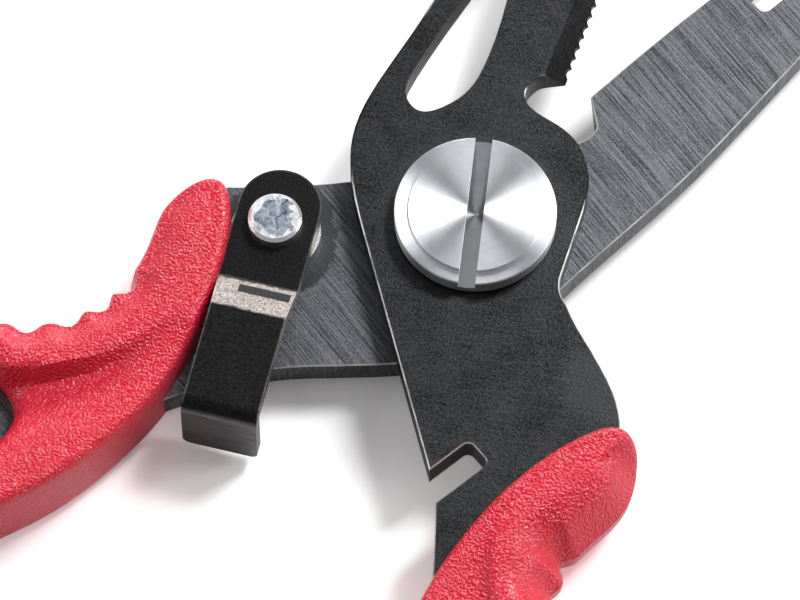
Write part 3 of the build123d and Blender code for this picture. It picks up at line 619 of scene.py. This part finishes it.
def make_shell(name, node, body, lean, side, handle, upper, material, scoop_depth=0.0):
    """A closed shell mesh: outer face, walls with a groove at the parting plane, and the flat parting face."""
    holes = []
    if not upper:
        turn = np.linspace(0, 2 * math.pi, 28, endpoint=False)
        circle = np.column_stack([np.cos(turn), np.sin(turn)]) * SCREW_MOUTH
        holes = [circle + place for place in SCREW_PLACES]
    outline = handle.outline
    plan, triangles = shell_plan(outline, holes)
    height = shell_height(plan, handle, upper, scoop_depth)
    sign = 1 if upper else -1
    parting = plan.copy()
    rim = np.arange(len(outline))
    share = nearest(outline, outline)[1]
    parting[rim] += inward_normals(outline) * (PARTING_GROOVE * handle.grip(share))[:, None]

    def in_world(points):
        a = math.radians(lean)
        x, y = side * points[:, 0], points[:, 1]
        return np.column_stack([x * math.cos(a) - y * math.sin(a), x * math.sin(a) + y * math.cos(a)])

    mesh = bmesh.new()

    def add_points(points, heights):
        return [
            mesh.verts.new((px * MM, py * MM, (PARTING_Z + sign * h) * MM))
            for (px, py), h in zip(in_world(points), heights)
        ]

    outer = add_points(plan, np.maximum(height, PARTING_LIP + 0.02))
    lip = add_points(plan[rim], np.full(len(rim), PARTING_LIP))
    inner = add_points(parting, np.zeros(len(plan)))
    for tri in triangles:
        mesh.faces.new([outer[i] for i in tri])
        mesh.faces.new([inner[i] for i in reversed(tri)])
    sides = {}
    for tri in triangles:
        for i in range(3):
            pair = (tri[i], tri[(i + 1) % 3])
            if (pair[1], pair[0]) in sides:
                sides.pop((pair[1], pair[0]))
            else:
                sides[pair] = True
    for i, j in sides:
        if i < len(rim) and j < len(rim):
            mesh.faces.new([outer[j], outer[i], lip[i], lip[j]])
            mesh.faces.new([lip[j], lip[i], inner[i], inner[j]])
        else:
            mesh.faces.new([outer[j], outer[i], inner[i], inner[j]])
    loose = [v for v in mesh.verts if not v.link_faces]
    bmesh.ops.delete(mesh, geom=loose, context="VERTS")
    bmesh.ops.recalc_face_normals(mesh, faces=mesh.faces)
    data = bpy.data.meshes.new(name)
    mesh.to_mesh(data)
    mesh.free()
    data.shade_smooth()
    data.set_sharp_from_angle(angle=math.radians(38))
    data.materials.append(material)
    shell = bpy.data.objects.new(name, data)
    bpy.context.collection.objects.link(shell)
    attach(shell, body)
    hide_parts(node)


HEAD_TOP_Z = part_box("pivot_screw")[1].z / MM
HANDLE_A_INNER = (10.5, -25.2, 0.0)
HANDLE_A_INNER_LEAN = 57.0

make_camera()
assign("blade_a", blade_steel(
    "steel_a", BLADE_A_LEAN, BLADE_A_LEAN + 5, grey(0.008), rgb(0.06, 0.061, 0.064), 0.2, 0.25, 0.45, 0.35,
    marks=[((16.2, -12.8), 0.6, 5.5, 1.1), ((0, 0), 8.2, 9.8, 0.25), ((9.6, 1.0), 0.3, 2.2, 0.5)],
    bands=[(HANDLE_A_INNER, HANDLE_A_INNER_LEAN, 0.6, 2.2, 0.35)],
))
# On blade B the darker disc round the latch rivet is partly wear of the coat, partly painted shade under and beside the
# latch.
assign("blade_b", blade_steel(
    "steel_b", BLADE_B_LEAN, GRIND_B_LEAN, rgb(0.045, 0.047, 0.052), rgb(0.16, 0.165, 0.178), 0.9, 0.15, 0.3, 0.2,
    marks=[((-11.7, -14.3), 5.2, 6.0, -1.2)],
))
assign("pivot_screw", turned_steel("steel_turned", rgb(0.74, 0.76, 0.8), 0.46, top=HEAD_TOP_Z))
assign("pivot_nut", turned_steel("steel_turned_nut", grey(0.6), 0.35))
washer = plain_steel("steel_washer", grey(0.45), grey(0.6), 0.35)
for part in ("pivot_friction_washer", "pivot_spring_washer", "latch_wave_washer"):
    assign(part, washer)
assign("latch_spacer", plain_steel("steel_spacer", grey(0.7), grey(0.9), 0.3))
assign("latch_rivet", rivet_zinc("zinc"))
screws = plain_steel("steel_screws", grey(0.4), grey(0.55), 0.35)
assign("handle_a_screws", screws)
assign("handle_b_screws", screws)
assign("latch_lever", latch_coat("latch_black"))
red = red_plastic("red_moulded")
make_shell("grip_a_top", "handle_a_upper_shell", "upper_half", BLADE_A_LEAN, 1, HANDLE_A, True, red, 1.35)
make_shell("grip_a_base", "handle_a_lower_shell", "upper_half", BLADE_A_LEAN, 1, HANDLE_A, False, red)
make_shell("grip_b_top", "handle_b_upper_shell", "lower_half", BLADE_B_LEAN, -1, HANDLE_B, True, red, 2.4)
make_shell("grip_b_base", "handle_b_lower_shell", "lower_half", BLADE_B_LEAN, -1, HANDLE_B, False, red)

# ---- Floor, world and lights

FLOOR_GLOW = 0.08
FLOOR_GAIN = 0.45
WORLD_FILL = 0.3


def make_floor():
    size = 3.0
    mesh = bpy.data.meshes.new("floor")
    corners = [(-size, -size, 0), (size, -size, 0), (size, size, 0), (-size, size, 0)]
    mesh.from_pydata(corners, [], [(0, 1, 2, 3)])
    floor = bpy.data.objects.new("floor", mesh)
    bpy.context.collection.objects.link(floor)
    s = Shader("floor_white")
    s.bsdf.inputs["Base Color"].default_value = grey(0.86)
    s.bsdf.inputs["Roughness"].default_value = 0.9
    s.bsdf.inputs["Specular IOR Level"].default_value = 0.0
    path = s.add("ShaderNodeLightPath")
    seen = s.math("MAXIMUM", path.outputs["Is Camera Ray"], path.outputs["Is Transmission Ray"])
    bright = s.add("ShaderNodeBsdfDiffuse")
    s.link(s.mix(seen, grey(0.0), grey(FLOOR_GAIN)), bright.inputs["Color"])
    both = s.add("ShaderNodeAddShader")
    s.link(s.bsdf.outputs[0], both.inputs[0])
    s.link(bright.outputs[0], both.inputs[1])
    glow = s.add("ShaderNodeEmission")
    s.link(s.math("MULTIPLY", seen, FLOOR_GLOW), glow.inputs["Strength"])
    lit = s.add("ShaderNodeAddShader")
    s.link(both.outputs[0], lit.inputs[0])
    s.link(glow.outputs[0], lit.inputs[1])
    s.link(lit.outputs[0], s.out.inputs["Surface"])
    mesh.materials.append(s.material)


def make_world():
    world = bpy.data.worlds.new("world")
    bpy.context.scene.world = world
    world.use_nodes = True
    tree = world.node_tree
    background = tree.nodes["Background"]
    path = tree.nodes.new("ShaderNodeLightPath")
    seen = tree.nodes.new("ShaderNodeMath")
    seen.operation = "MAXIMUM"
    tree.links.new(path.outputs["Is Camera Ray"], seen.inputs[0])
    tree.links.new(path.outputs["Is Transmission Ray"], seen.inputs[1])
    strength = tree.nodes.new("ShaderNodeMapRange")
    tree.links.new(seen.outputs[0], strength.inputs[0])
    strength.inputs[3].default_value = WORLD_FILL
    strength.inputs[4].default_value = 1.0
    background.inputs["Color"].default_value = (1, 1, 1, 1)
    tree.links.new(strength.outputs[0], background.inputs["Strength"])


def make_lamp(name, place, target, size, power):
    data = bpy.data.lights.new(name, "AREA")
    data.shape = "RECTANGLE"
    data.size, data.size_y = size
    data.energy = power
    lamp = bpy.data.objects.new(name, data)
    lamp.location = place
    aim = Vector(target) - Vector(place)
    lamp.rotation_euler = aim.to_track_quat("-Z", "Y").to_euler()
    bpy.context.collection.objects.link(lamp)


make_floor()
make_world()
make_lamp("left", (-0.85, 0.1, 0.5), (0, 0, 0), (0.4, 0.5), 2.6)
make_lamp("right", (0.95, 0.1, 0.5), (0, 0, 0), (0.3, 0.4), 3.5)
make_lamp("key", (0.55, 0.5, 0.85), (0, 0, 0), (0.35, 0.35), 10.0)
make_lamp("back", (0.0, 1.1, 0.42), (0, 0, 0), (0.6, 0.3), 8.0)

bpy.context.scene.view_settings.view_transform = "Standard"
